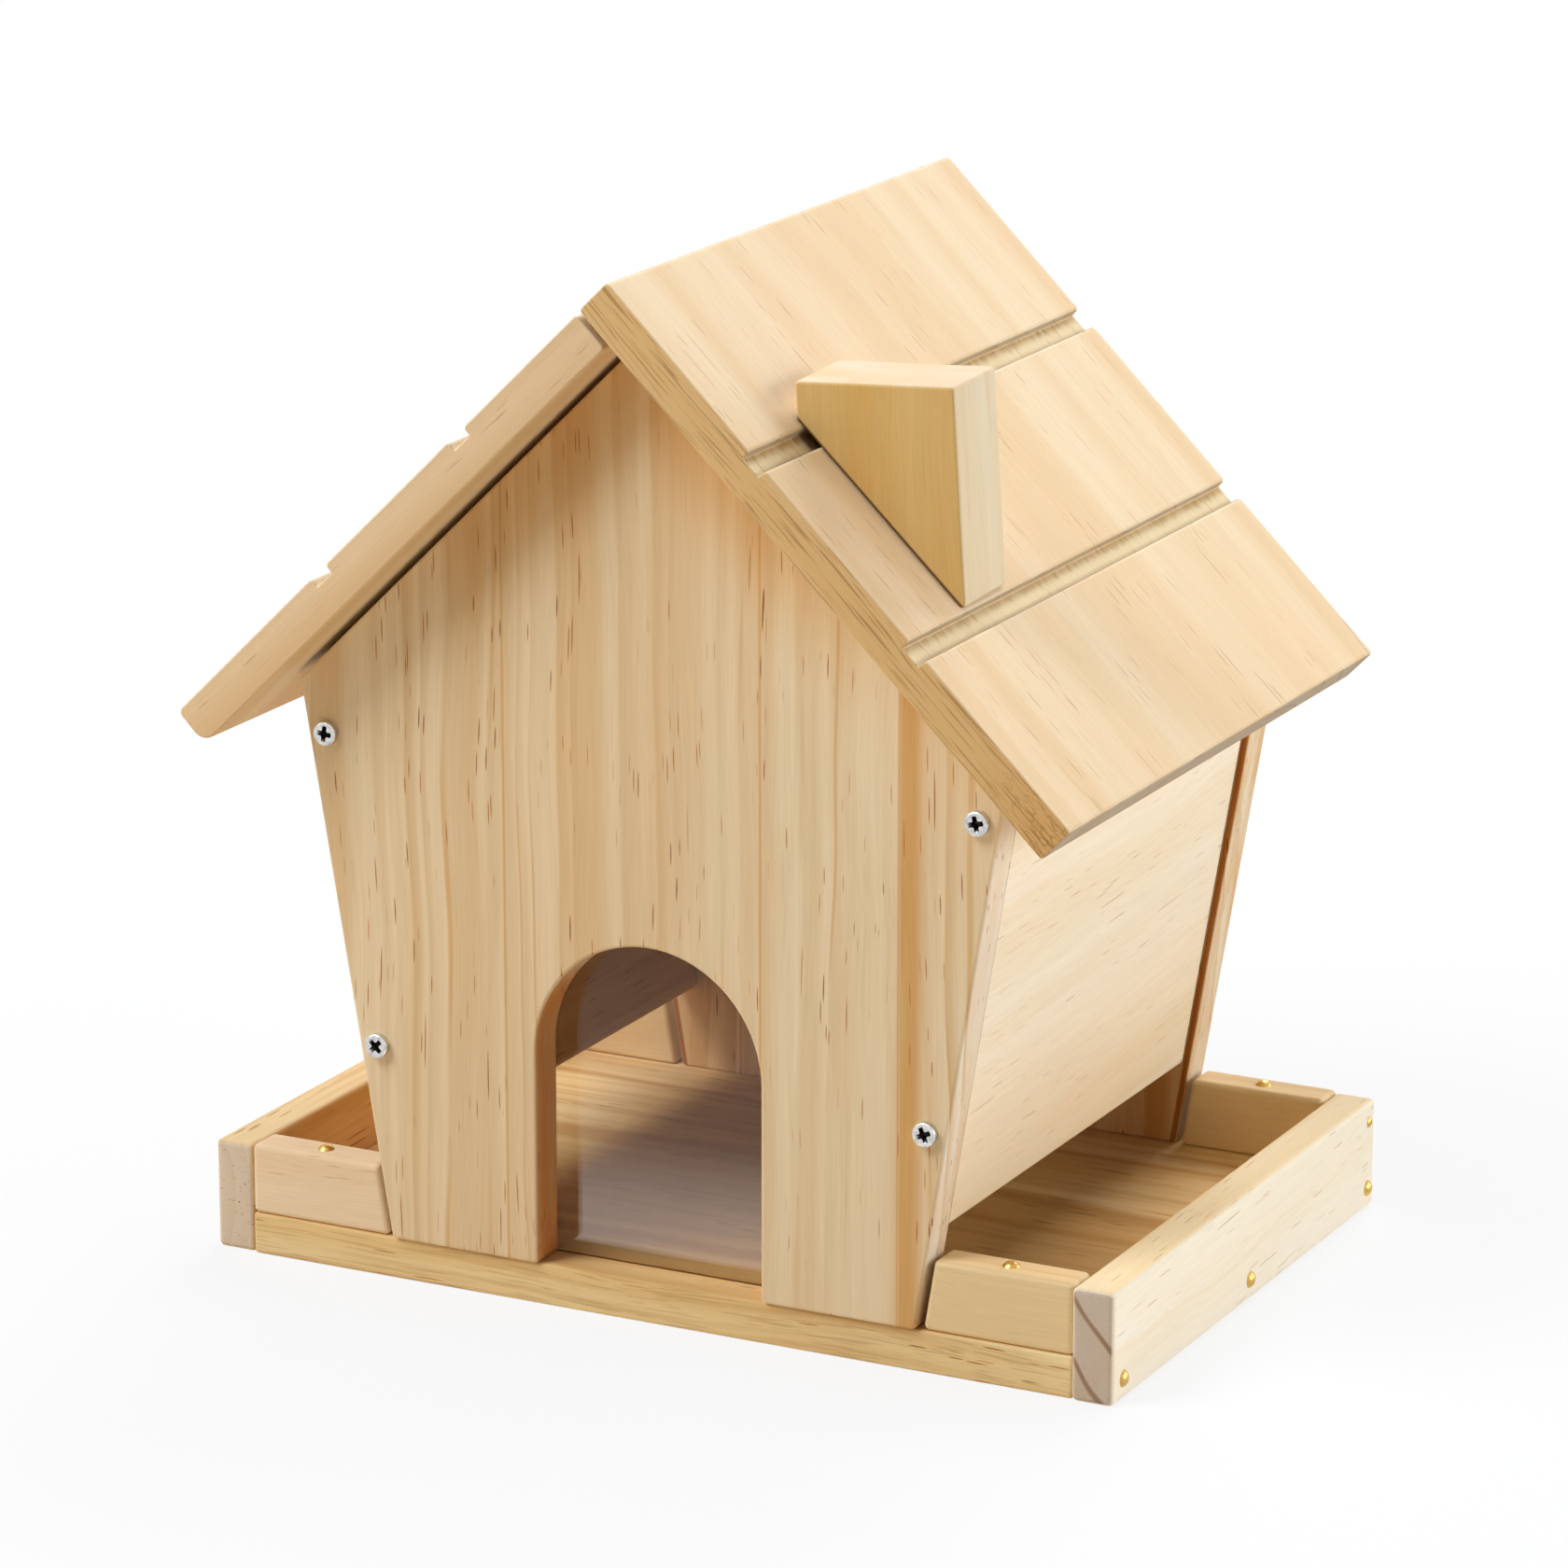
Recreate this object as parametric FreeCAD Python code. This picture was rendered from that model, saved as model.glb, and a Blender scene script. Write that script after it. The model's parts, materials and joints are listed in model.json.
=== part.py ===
import FreeCAD, Part
import math
import os

from FreeCAD import Placement, Rotation, Vector

# A wooden bird feeder: a small house on a tray, with a seed hopper between two sloped walls
# and a hinged roof board.
# Lengths are in millimetres and angles in degrees. X runs to the right along the front, Y to the back, Z up.
# The origin is the middle of the base board's underside.

# Base and tray
base_width = 250.0
base_depth = 181.0
base_thickness = 12.0
rail_thickness = 12.0
rail_height = 31.5
right_rail_forward = 1.0
left_rail_back = 0.5
block_thickness = 11.5
block_height = 20.0
block_end_gap = 1.6

# Gables
gable_thickness = 12.0
gable_proud = 1.3
gable_foot_width = 159.4
gable_eave_width = 211.4
gable_eave_height = 156.2
roof_slope = 44.4
door_width = 68.0
door_height = 94.4

# Hopper walls
wall_thickness = 8.0
wall_inset = 2.0
feed_gap = 24.0

# Roof
roof_thickness = 11.6
roof_front_overhang = 16.8
roof_back_overhang = 2.4
fixed_roof_length = 185.0
lid_length = 172.8
roof_bands = 3
groove_width = 6.2
groove_depth = 2.7
lid_eave_band = 59.6
lid_middle_band = 53.4
lid_ridge_gap = 1.7
lid_eave_gap = 1.9
lid_end_gap = 1.4
lid_rest_gap = 0.3
ridge_step = 0.3

# Chimney
chimney_width = 45.2
chimney_depth = 26.4
chimney_low_side = 10.2
chimney_lean = 3.2
chimney_turn = 1.7
chimney_from_ridge = 54.1
chimney_from_front = 32.0

# Window pane behind the doorway
pane_thickness = 2.0
pane_side_lap = 11.0
pane_top_lap = 12.0
pane_corner_round = 2.0

# Rounded corners and eased edges
base_ease = 1.0
tray_ease = 1.6
gable_ease = 1.0
gable_corner_round = 1.5
wall_ease = 1.5
wall_corner_round = 2.0
roof_ease = 0.6
roof_corner_round = 1.2
groove_foot_round = 0.4
lid_nose_round = 4.5
lid_brow_round = 1.8
chimney_ease = 0.8
chimney_corner_round = 1.0

# Cross-head pan screws through the gables into the ends of the hopper walls
gable_screw_head = 6.8
gable_screw_head_height = 2.0
gable_screw_shank = 3.0
gable_screw_bite = 14.0
gable_screw_low_height = 55.5
gable_screw_high_height = 142.0
low_left_screw_turn = 45.0
low_right_screw_turn = 23.0
high_left_screw_turn = -8.0
high_right_screw_turn = 13.0

# Small pan screws that hold the pane
pane_screw_head = 4.6
pane_screw_head_height = 1.6
pane_screw_shank = 2.2
pane_screw_bite = 8.0
pane_screw_from_top = 6.0
pane_screw_from_foot = 12.0

# Countersunk screws: from below into the gables, and from under the roof into the chimney
wood_screw_head = 6.8
wood_screw_shank = 3.5
wood_screw_bite = 18.0
wood_screw_sink = 0.5

# Brass nails with domed heads
nail_head = 4.8
nail_head_height = 1.4
nail_shank = 1.8
rail_nail_bite = 13.0
rail_nail_from_end = 6.0
small_nail_head = 3.2
small_nail_head_height = 0.8
small_nail_shank = 1.2
small_nail_bite = 10.0
small_nail_below_block_top = 6.4
block_nail_from_rail = 20.5
block_nail_end_cover = 4.0

# Dowels between the gables and the fixed roof board
dowel_diameter = 6.0
dowel_in_gable = 10.0
dowel_in_roof = 6.5
dowel_chamfer = 0.6
dowel_from_apex = 32.0
dowel_from_eave = 24.0

# Butt hinges on the left slope, under the ridge
hinge_length = 32.0
hinge_knuckles = 3
hinge_from_end = 55.0
hinge_barrel = 4.0
hinge_barrel_lift = 0.2
hinge_pin = 1.6
hinge_pin_overhang = 0.8
hinge_leaf_width = 9.5
hinge_leaf_thickness = 1.0
hinge_leaf_corner_round = 1.5
hinge_knuckle_gap = 0.2
hinge_screw_head = 3.4
hinge_screw_shank = 1.8
hinge_screw_bite = 7.0
hinge_screw_spacing = 18.0

# Clearances, and how far a cutting tool reaches past a face
hole_clearance = 0.05
hole_end_clearance = 0.5
pin_clearance = 0.05
mortise_clearance = 0.3
overcut = 1.0
tiny = 1e-6

# Shape of a screw's cross recess and rim, in shares of the head
recess_reach_share = 0.33
recess_foot_share = 0.12
recess_width_share = 0.2
recess_core_share = 0.17
recess_depth_share = 0.8
pan_rim_share = 0.25
point_share = 1.2

x_axis = Vector(1, 0, 0)
y_axis = Vector(0, 1, 0)
z_axis = Vector(0, 0, 1)

# Depths of the main planes
base_front = -base_depth / 2
base_back = base_depth / 2
gable_front = base_front - gable_proud
gable_back = base_back + gable_proud
front_gable_inside = gable_front + gable_thickness
back_gable_inside = gable_back - gable_thickness
roof_front = gable_front - roof_front_overhang
roof_back = gable_back + roof_back_overhang

# Outline of the gables
base_end = base_width / 2
gable_foot = gable_foot_width / 2
gable_eave = gable_eave_width / 2
slope = math.radians(roof_slope)
eave_z = base_thickness + gable_eave_height
apex = Vector(0, 0, eave_z + gable_eave * math.tan(slope))
gable_slope_length = gable_eave / math.cos(slope)
taper = math.atan2(gable_eave - gable_foot, gable_eave_height)

# Directions down each slope and out of each slope
fixed_down = Vector(math.cos(slope), 0, -math.sin(slope))
fixed_out = Vector(math.sin(slope), 0, math.cos(slope))
gable_left_out = Vector(-math.sin(slope), 0, math.cos(slope))
lid_slope = slope - math.atan2(lid_eave_gap - lid_ridge_gap, gable_slope_length)
lid_down = Vector(-math.cos(lid_slope), 0, -math.sin(lid_slope))
lid_out = Vector(-math.sin(lid_slope), 0, math.cos(lid_slope))


def meet(point, along, other_point, other_along):
    """Crossing of two lines in the XZ plane."""
    across = Vector(-other_along.z, 0, other_along.x)
    return point + along * ((other_point - point).dot(across) / along.dot(across))


# The ridge: the lid's upper end lies along the fixed board's underside,
# and the fixed board's own end stands a step above the lid
lid_under = apex + gable_left_out * lid_ridge_gap
lid_top = lid_under + lid_out * roof_thickness
lid_end = apex - fixed_out * lid_end_gap
lid_end_top = meet(lid_top, lid_down, lid_end, fixed_down)
lid_end_under = meet(lid_under, lid_down, lid_end, fixed_down)
ridge_end = lid_end_top + lid_out * ridge_step
ridge_top = meet(apex + fixed_out * roof_thickness, fixed_down, ridge_end, lid_down)
ridge_under = meet(apex, fixed_down, ridge_end, lid_down)

# The hinge axis is over the middle of the gap between the two roof boards
hinge_axis_height = hinge_barrel / 2 + hinge_barrel_lift
hinge_axis = lid_end_top - lid_down * (lid_end_gap / 2) + lid_out * hinge_axis_height
hinge_leaf_start = hinge_barrel / 2 + hinge_knuckle_gap
hinge_screw_reach = (hinge_leaf_start + hinge_leaf_width) / 2
hinge_middles = {
    "front": roof_front + hinge_from_end,
    "rear": roof_back - hinge_from_end,
}


def unit(vector):
    return vector * (1 / vector.Length)


def at(x, z):
    return Vector(x, 0, z)


def mirrored(point):
    return Vector(-point.x, point.y, point.z)


def rounded_face(corners):
    """Flat face in the XZ plane through corners, each a point and the radius that rounds it."""
    bends = []
    for index, (point, radius) in enumerate(corners):
        back = unit(corners[index - 1][0] - point)
        ahead = unit(corners[(index + 1) % len(corners)][0] - point)
        half = back.getAngle(ahead) / 2
        reach = radius / math.tan(half)
        middle = point + unit(back + ahead) * (radius / math.sin(half) - radius)
        bends.append((point + back * reach, middle, point + ahead * reach))
    edges = []
    for index, (start, middle, end) in enumerate(bends):
        next_start = bends[(index + 1) % len(bends)][0]
        if (end - start).Length > tiny:
            edges.append(Part.Arc(start, middle, end).toShape())
        if (next_start - end).Length > tiny:
            edges.append(Part.makeLine(end, next_start))
    return Part.Face(Part.Wire(edges))


def prism(corners, front, back):
    """Solid with an outline in the XZ plane, running in depth from front to back."""
    face = rounded_face(corners)
    face.translate(y_axis * front)
    return face.extrude(y_axis * (back - front))


def board(corners, front, back, ease):
    """Prism whose front and back edges are eased."""
    solid = prism(corners, front, back)
    ends = [edge for edge in solid.Edges
            if min(abs(edge.CenterOfMass.y - front), abs(edge.CenterOfMass.y - back)) < tiny]
    return solid.makeFillet(ease, ends)


def eased_bar(low, high, ease):
    """Straight bar between two opposite corners, with all its edges eased."""
    size = high - low
    bar = Part.makeBox(size.x, size.y, size.z, low)
    return bar.makeFillet(ease, bar.Edges)


def placed(shape, seat, turn=0.0):
    """Copy of a fastener made head up at the origin, turned and set at a seat, a point and a direction out."""
    point, outward = seat
    copy = shape.copy()
    copy.Placement = Placement(point, Rotation(z_axis, outward) * Rotation(z_axis, turn))
    return copy


def group(shape, seats):
    return Part.makeCompound([placed(shape, seat) for seat in seats])


def driven_group(shape, seats, turns):
    """Group of screws, each left at its own turn."""
    return Part.makeCompound([placed(shape, seat, turn) for seat, turn in zip(seats, turns)])


def cross_recess(head, depth, top):
    """Cutting tool for a cross recess that opens at height top."""
    width = head * recess_width_share
    reach = head * recess_reach_share
    low = top - depth
    one_way = Part.makeBox(2 * reach, width, depth, Vector(-reach, -width / 2, low))
    other_way = Part.makeBox(width, 2 * reach, depth, Vector(-width / 2, -reach, low))
    core = Part.makeCylinder(head * recess_core_share, depth, z_axis * low)
    cone = Part.makeCone(head * recess_foot_share, reach, depth, z_axis * low)
    return one_way.fuse([other_way, core]).common(cone)


def shank(diameter, length):
    """Pointed shank below the origin."""
    point = diameter * point_share
    body = Part.makeCylinder(diameter / 2, length - point, z_axis * (point - length))
    return body.fuse(Part.makeCone(0, diameter / 2, point, z_axis * -length))


def shank_hole(diameter, length):
    """Cutting tool for a shank, open above the seat."""
    radius = diameter / 2 + hole_clearance
    reach = length + hole_end_clearance
    return Part.makeCylinder(radius, reach + overcut, z_axis * -reach)


def pan_screw(head, head_height, shank_diameter, length):
    """Screw with a rounded head that stands on its seat."""
    disc = Part.makeCylinder(head / 2, head_height)
    rim = [edge for edge in disc.Edges if abs(edge.CenterOfMass.z - head_height) < tiny]
    disc = disc.makeFillet(head_height * pan_rim_share, rim)
    recess = cross_recess(head, head_height * recess_depth_share, head_height)
    return disc.fuse(shank(shank_diameter, length)).cut(recess).removeSplitter()


def countersunk_screw(head, shank_diameter, length):
    """Screw whose flat head lies level with its seat."""
    depth = (head - shank_diameter) / 2
    cone = Part.makeCone(shank_diameter / 2, head / 2, depth, z_axis * -depth)
    recess = cross_recess(head, depth * recess_depth_share, 0)
    return cone.fuse(shank(shank_diameter, length)).cut(recess).removeSplitter()


def countersunk_hole(head, shank_diameter, length):
    """Cutting tool for a countersunk screw."""
    depth = (head - shank_diameter) / 2
    wide = head / 2 + hole_clearance
    cone = Part.makeCone(shank_diameter / 2 + hole_clearance, wide, depth, z_axis * -depth)
    mouth = Part.makeCylinder(wide, overcut)
    return shank_hole(shank_diameter, length).fuse([cone, mouth])


def domed_nail(head, head_height, shank_diameter, length):
    """Nail whose head is part of a ball."""
    ball = (head * head / 4 + head_height * head_height) / (2 * head_height)
    dome = Part.makeSphere(ball, z_axis * (head_height - ball))
    dome = dome.common(Part.makeCylinder(head / 2, head_height))
    return dome.fuse(shank(shank_diameter, length)).removeSplitter()


# Seats of the fasteners, shared by the fasteners and by the holes they pass through
wall_middle_inset = (wall_inset + wall_thickness / 2) / math.cos(taper)


def wall_middle_x(height):
    """Middle of the right hopper wall's thickness at a height above the base."""
    return gable_foot + height * math.tan(taper) - wall_middle_inset


def gable_screw_seats(depth, outward):
    seats = []
    for height in (gable_screw_low_height, gable_screw_high_height):
        for side in (-1, 1):
            seats.append((Vector(side * wall_middle_x(height), depth, base_thickness + height), outward))
    return seats


front_gable_screw_seats = gable_screw_seats(gable_front, -y_axis)
back_gable_screw_seats = gable_screw_seats(gable_back, y_axis)

leg_middle = (door_width / 2 + gable_foot) / 2
gable_middles = ((gable_front + front_gable_inside) / 2, (gable_back + back_gable_inside) / 2)
base_screw_seats = [(Vector(side * leg_middle, depth, wood_screw_sink), -z_axis)
                    for depth in gable_middles for side in (-1, 1)]

block_middles = (base_front + block_thickness / 2, base_back - block_thickness / 2)
block_top = base_thickness + block_height
block_nail_seats = [(Vector(side * (base_end - block_nail_from_rail), depth, block_top), z_axis)
                    for depth in block_middles for side in (-1, 1)]

rail_outside = base_end + rail_thickness


def rail_nail_seats(side):
    """Nails through a rail into the end of the base."""
    depths = (base_front + rail_nail_from_end, 0, base_back - rail_nail_from_end)
    return [(Vector(side * rail_outside, depth, base_thickness / 2), x_axis * side) for depth in depths]


def small_nail_seat(side):
    """Nail through a rail into the end of the back block."""
    height = block_top - small_nail_below_block_top
    return Vector(side * rail_outside, block_middles[1], height), x_axis * side


pane_half_width = door_width / 2 + pane_side_lap
pane_inside = front_gable_inside + pane_thickness
pane_top = base_thickness + door_height + pane_top_lap
pane_screw_x = door_width / 2 + pane_side_lap / 2
pane_screw_seats = [(Vector(side * pane_screw_x, pane_inside, height), y_axis)
                    for height in (base_thickness + pane_screw_from_foot, pane_top - pane_screw_from_top)
                    for side in (-1, 1)]

dowel_seats = [(apex + fixed_down * reach + y_axis * depth, fixed_out)
               for depth in gable_middles
               for reach in (dowel_from_apex, gable_slope_length - dowel_from_eave)]

# The chimney leans on the roof's top, its foot cut to the slope
lean = math.radians(chimney_lean)
chimney_up = Vector(-math.sin(lean), 0, math.cos(lean))
chimney_across = Vector(math.cos(lean), 0, math.sin(lean))
chimney_front = roof_front + chimney_from_front
chimney_back = chimney_front + chimney_depth
chimney_foot_left = ridge_top + fixed_down * chimney_from_ridge
chimney_top_left = chimney_foot_left + chimney_up * chimney_low_side
chimney_top_right = chimney_top_left + chimney_across * chimney_width
chimney_foot_right = meet(chimney_top_right, chimney_up, ridge_top, fixed_down)
chimney_middle = y_axis * ((chimney_front + chimney_back) / 2)
chimney_foot_middle = (chimney_foot_left + chimney_foot_right) / 2 + chimney_middle
chimney_screw_seat = (chimney_foot_middle - fixed_out * (roof_thickness - wood_screw_sink), -fixed_out)


def hinge_screw_seats(along):
    """Screws of one leaf of both hinges, on the leaf's outer face."""
    face = hinge_axis + lid_out * (hinge_leaf_thickness - hinge_axis_height) + along * hinge_screw_reach
    return [(face + y_axis * (middle + side * hinge_screw_spacing / 2), lid_out)
            for middle in hinge_middles.values() for side in (-1, 1)]


# Lengths of the fasteners, from what they pass through and how far they bite
gable_screw_length = gable_thickness + gable_screw_bite
pane_screw_length = pane_thickness + pane_screw_bite
base_screw_length = base_thickness - wood_screw_sink + wood_screw_bite
chimney_screw_length = roof_thickness - wood_screw_sink + wood_screw_bite
rail_nail_length = rail_thickness + rail_nail_bite
small_nail_length = rail_thickness + small_nail_bite
block_nail_length = block_height + base_thickness - block_nail_end_cover
hinge_screw_length = hinge_leaf_thickness + hinge_screw_bite

# Holes for the fasteners
gable_screw_hole = shank_hole(gable_screw_shank, gable_screw_length)
pane_screw_hole = shank_hole(pane_screw_shank, pane_screw_length)
base_screw_hole = countersunk_hole(wood_screw_head, wood_screw_shank, base_screw_length)
chimney_screw_hole = countersunk_hole(wood_screw_head, wood_screw_shank, chimney_screw_length)
rail_nail_hole = shank_hole(nail_shank, rail_nail_length)
small_nail_hole = shank_hole(small_nail_shank, small_nail_length)
block_nail_hole = shank_hole(nail_shank, block_nail_length)
hinge_screw_hole = countersunk_hole(hinge_screw_head, hinge_screw_shank, hinge_screw_length)
dowel_hole = Part.makeCylinder(
    dowel_diameter / 2 + hole_clearance,
    dowel_in_gable + dowel_in_roof + 2 * hole_end_clearance,
    z_axis * -(dowel_in_gable + hole_end_clearance),
)


def drilled(solid, *holes):
    """Solid cut by hole tools, each given with the seats it is set at."""
    tools = [placed(tool, seat) for tool, seats in holes for seat in seats]
    return solid.cut(tools)


def base_board():
    low = Vector(-base_end, base_front, 0)
    high = Vector(base_end, base_back, base_thickness)
    return drilled(
        eased_bar(low, high, base_ease),
        (base_screw_hole, base_screw_seats),
        (block_nail_hole, block_nail_seats),
        (rail_nail_hole, rail_nail_seats(-1) + rail_nail_seats(1)),
    )


def tray_rail(side, shift):
    inner = side * base_end
    outer = side * rail_outside
    low = Vector(min(inner, outer), base_front + shift, 0)
    high = Vector(max(inner, outer), base_back + shift, rail_height)
    return drilled(
        eased_bar(low, high, tray_ease),
        (rail_nail_hole, rail_nail_seats(side)),
        (small_nail_hole, [small_nail_seat(side)]),
    )


def tray_block(side, middle):
    """Block between a rail and a gable's foot, its inner end cut to the gable's taper."""
    inner = gable_foot + block_end_gap / math.cos(taper)
    outline = [
        at(side * base_end, base_thickness),
        at(side * base_end, block_top),
        at(side * (inner + block_height * math.tan(taper)), block_top),
        at(side * inner, base_thickness),
    ]
    half = block_thickness / 2
    solid = prism([(point, 0) for point in outline], middle - half, middle + half)
    return drilled(
        solid.makeFillet(tray_ease, solid.Edges),
        (block_nail_hole, block_nail_seats),
        (small_nail_hole, [small_nail_seat(side)]),
    )


def gable_outline():
    """Left foot, left eave, apex, right eave and right foot."""
    return [
        (at(-gable_foot, base_thickness), gable_corner_round),
        (at(-gable_eave, eave_z), gable_corner_round),
        (apex, gable_corner_round),
        (at(gable_eave, eave_z), gable_corner_round),
        (at(gable_foot, base_thickness), gable_corner_round),
    ]


def doorway_outline():
    """Doorway cut up from the foot, from right to left, with a round arch."""
    half = door_width / 2
    top = base_thickness + door_height
    return [
        (at(half, base_thickness), gable_corner_round),
        (at(half, top), half),
        (at(-half, top), half),
        (at(-half, base_thickness), gable_corner_round),
    ]


def front_panel():
    return drilled(
        board(gable_outline() + doorway_outline(), gable_front, front_gable_inside, gable_ease),
        (gable_screw_hole, front_gable_screw_seats),
        (base_screw_hole, base_screw_seats),
        (pane_screw_hole, pane_screw_seats),
        (dowel_hole, dowel_seats),
    )


def back_panel():
    return drilled(
        board(gable_outline(), back_gable_inside, gable_back, gable_ease),
        (gable_screw_hole, back_gable_screw_seats),
        (base_screw_hole, base_screw_seats),
        (dowel_hole, dowel_seats),
    )


def hopper_wall(side, top_point, top_along):
    """Sloped wall between the gables; its top is cut along the given line, drawn for the right side."""
    rise = Vector(math.sin(taper), 0, math.cos(taper))
    inward = Vector(-math.cos(taper), 0, math.sin(taper))
    foot = at(gable_foot, base_thickness) + inward * wall_inset
    lower_outer = foot + rise * ((feed_gap - inward.z * wall_inset) / rise.z)
    lower_inner = lower_outer + inward * wall_thickness
    upper_inner = meet(lower_inner, rise, top_point, top_along)
    upper_outer = meet(lower_outer, rise, top_point, top_along)
    corners = [
        (lower_outer, wall_corner_round),
        (lower_inner, wall_corner_round),
        (upper_inner, 0),
        (upper_outer, 0),
    ]
    if side < 0:
        corners = [(mirrored(point), radius) for point, radius in corners]
    solid = prism(corners, front_gable_inside, back_gable_inside)
    return drilled(
        ease_lower_ends(solid, lower_inner.z),
        (gable_screw_hole, front_gable_screw_seats + back_gable_screw_seats),
    )


def ease_lower_ends(wall, height):
    """Rounds a wall's lower corners as seen from the side."""
    low = [edge for edge in wall.Edges
           if edge.BoundBox.ZMax < height and edge.BoundBox.YLength < tiny]
    return wall.makeFillet(wall_ease, low)


def window_pane():
    corners = [
        (at(-pane_half_width, base_thickness), pane_corner_round),
        (at(-pane_half_width, pane_top), pane_corner_round),
        (at(pane_half_width, pane_top), pane_corner_round),
        (at(pane_half_width, base_thickness), pane_corner_round),
    ]
    pane = prism(corners, front_gable_inside, pane_inside)
    return drilled(pane, (pane_screw_hole, pane_screw_seats))


def groove_corners(start, down, out, reach):
    """Corners of a cross groove in a roof board's top, whose upper lip is at a reach down the slope."""
    upper = start + down * reach
    lower = upper + down * groove_width
    sink = out * groove_depth
    return [
        (upper, roof_corner_round),
        (upper - sink, groove_foot_round),
        (lower - sink, groove_foot_round),
        (lower, roof_corner_round),
    ]


def fixed_roof_board():
    """Right roof board with equal bands between its grooves, drilled and mortised."""
    eave_top = ridge_top + fixed_down * fixed_roof_length
    pitch = (fixed_roof_length + groove_width) / roof_bands
    corners = [(ridge_under, roof_corner_round), (ridge_top, roof_corner_round)]
    for count in range(1, roof_bands):
        corners += groove_corners(ridge_top, fixed_down, fixed_out, count * pitch - groove_width)
    corners += [
        (eave_top, roof_corner_round),
        (eave_top - fixed_out * roof_thickness, roof_corner_round),
    ]
    mortises = [hinge_mortise(middle) for middle in hinge_middles.values()]
    return drilled(
        board(corners, roof_front, roof_back, roof_ease).cut(mortises),
        (dowel_hole, dowel_seats),
        (chimney_screw_hole, [chimney_screw_seat]),
        (hinge_screw_hole, hinge_screw_seats(-lid_down)),
    )


def hinge_mortise(middle):
    """Shallow pocket in the ridge end for a hinge's fixed leaf and its barrel, level with the lid's top."""
    half = hinge_length / 2 + hinge_pin_overhang + mortise_clearance
    floor = hinge_axis - lid_out * hinge_axis_height
    reach = -lid_down * (hinge_leaf_width + mortise_clearance)
    mouth = lid_down * hinge_leaf_start
    rise = lid_out * (ridge_step + overcut)
    corners = [floor + mouth, floor + reach, floor + reach + rise, floor + mouth + rise]
    return prism([(corner, 0) for corner in corners], middle - half, middle + half)


def lid_roof_board():
    """Left roof board, the hinged lid, with a rounded nose at the eave for the fingers."""
    eave_top = lid_end_top + lid_down * lid_length
    nose = min(lid_nose_round, roof_thickness - lid_brow_round - roof_ease)
    lower_groove = lid_length - lid_eave_band - groove_width
    upper_groove = lower_groove - lid_middle_band - groove_width
    corners = [(lid_end_under, roof_corner_round), (lid_end_top, roof_corner_round)]
    for reach in (upper_groove, lower_groove):
        corners += groove_corners(lid_end_top, lid_down, lid_out, reach)
    corners += [
        (eave_top, lid_brow_round),
        (eave_top - lid_out * roof_thickness, nose),
    ]
    return drilled(
        board(corners, roof_front, roof_back, roof_ease),
        (hinge_screw_hole, hinge_screw_seats(lid_down)),
    )


def chimney():
    """Block on the right slope, turned a little about the screw that holds it."""
    points = [chimney_foot_left, chimney_top_left, chimney_top_right, chimney_foot_right]
    corners = [(point, chimney_corner_round) for point in points]
    solid = board(corners, chimney_front, chimney_back, chimney_ease)
    solid.rotate(chimney_foot_middle, fixed_out, chimney_turn)
    return drilled(solid, (chimney_screw_hole, [chimney_screw_seat]))


def roof_dowel():
    """Dowel with chamfered ends, set across the joint at the origin."""
    length = dowel_in_gable + dowel_in_roof
    dowel = Part.makeCylinder(dowel_diameter / 2, length, z_axis * -dowel_in_gable)
    rims = [edge for edge in dowel.Edges if edge.BoundBox.ZLength < tiny]
    return dowel.makeChamfer(dowel_chamfer, rims)


def hinge_leaf(middle, along, spans):
    """Leaf that lies along one slope, with knuckles round the pin at the given spans in depth."""
    foot = hinge_axis - lid_out * hinge_axis_height
    rise = lid_out * hinge_leaf_thickness

    def strip(start, end, front, back):
        near = foot + along * start
        far = foot + along * end
        corners = [near, far, far + rise, near + rise]
        return prism([(corner, 0) for corner in corners], middle + front, middle + back)

    plate = strip(hinge_leaf_start, hinge_leaf_width, -hinge_length / 2, hinge_length / 2)
    outer = [edge for edge in plate.Edges
             if edge.BoundBox.YLength < tiny
             and abs((edge.CenterOfMass - hinge_axis).dot(along) - hinge_leaf_width) < tiny]
    leaf = plate.makeFillet(hinge_leaf_corner_round, outer)
    for front, back in spans:
        start = hinge_axis + y_axis * (middle + front)
        barrel = Part.makeCylinder(hinge_barrel / 2, back - front, start, y_axis)
        leaf = leaf.fuse([barrel, strip(0, hinge_leaf_start, front, back)])
    bore_start = hinge_axis + y_axis * (middle - hinge_length / 2 - overcut)
    bore = Part.makeCylinder(hinge_pin / 2 + pin_clearance, hinge_length + 2 * overcut, bore_start, y_axis)
    return drilled(leaf.removeSplitter().cut(bore), (hinge_screw_hole, hinge_screw_seats(along)))


def hinge_pin_rod(middle):
    length = hinge_length + 2 * hinge_pin_overhang
    start = hinge_axis + y_axis * (middle - length / 2)
    rod = Part.makeCylinder(hinge_pin / 2, length, start, y_axis)
    rims = [edge for edge in rod.Edges if edge.BoundBox.YLength < tiny]
    return rod.makeFillet(hinge_pin_overhang / 2, rims)


def hinges():
    """Nodes of both hinges: the fixed leaf has the outer knuckles and the lid leaf has the middle one."""
    half_knuckle = hinge_length / hinge_knuckles / 2
    fixed_spans = [(-hinge_length / 2, -half_knuckle), (half_knuckle, hinge_length / 2)]
    lid_spans = [(hinge_knuckle_gap - half_knuckle, half_knuckle - hinge_knuckle_gap)]
    nodes = {}
    for name, middle in hinge_middles.items():
        nodes[name + "_hinge_fixed_leaf"] = hinge_leaf(middle, -lid_down, fixed_spans)
        nodes[name + "_hinge_lid_leaf"] = hinge_leaf(middle, lid_down, lid_spans)
        nodes[name + "_hinge_pin"] = hinge_pin_rod(middle)
    return nodes


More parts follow.
